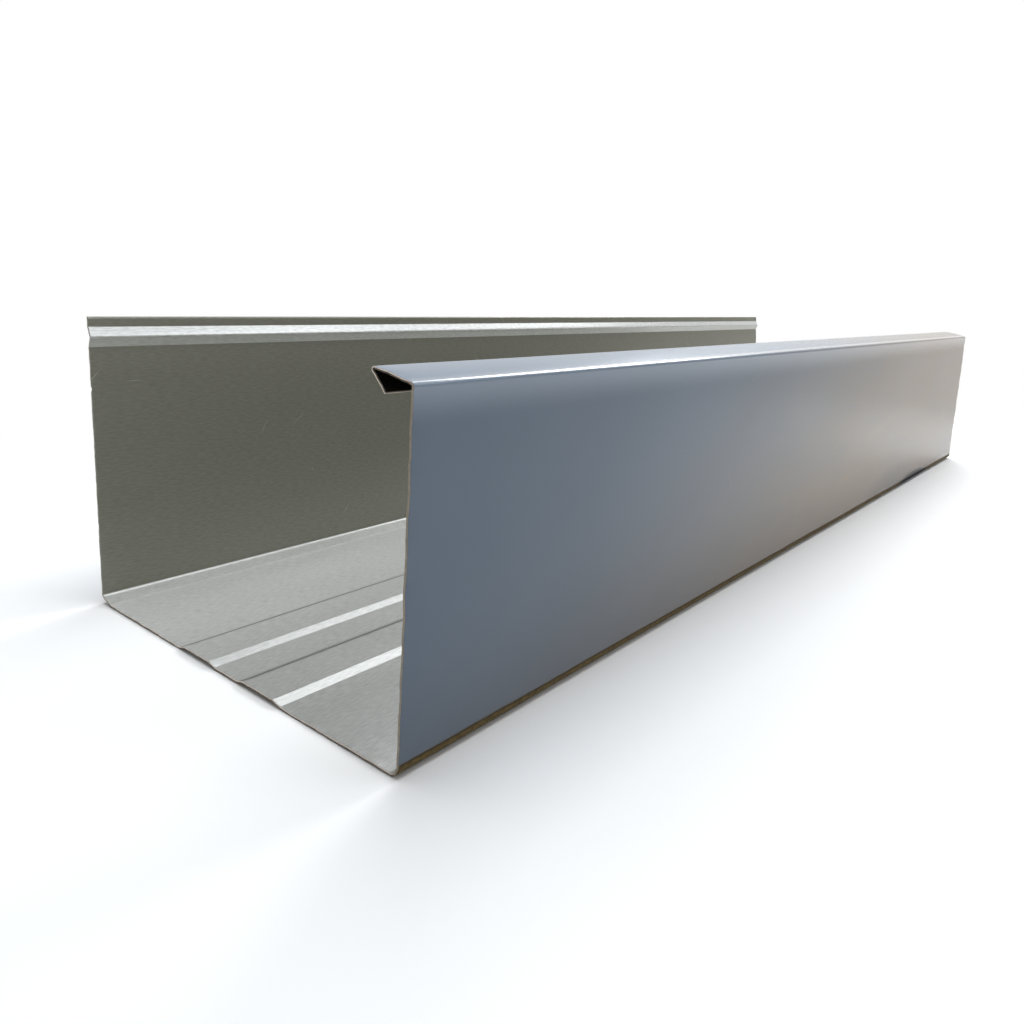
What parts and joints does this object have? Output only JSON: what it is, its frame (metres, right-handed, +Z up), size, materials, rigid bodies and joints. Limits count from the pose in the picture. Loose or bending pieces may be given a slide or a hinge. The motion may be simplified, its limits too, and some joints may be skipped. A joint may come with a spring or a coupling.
{
  "type": "gutter section",
  "caption": "Length of box gutter bent from painted sheet steel: ribbed base, beaded back wall, straight front wall with an inturned flange and return lip.",
  "frame": {"origin": "middle of the base's underside, at mid-length, between the two bottom corners", "axes": "+X along the gutter, +Y towards the back wall that goes against the building, +Z up"},
  "size_m": [0.45, 0.1327, 0.0812],
  "materials": {
    "prepainted_sheet": "satin blue-grey paint outside, bare zinc-aluminium coating inside"
  },
  "bodies": {
    "root": {"box_gutter": "prepainted_sheet"}
  },
  "joints": []
}
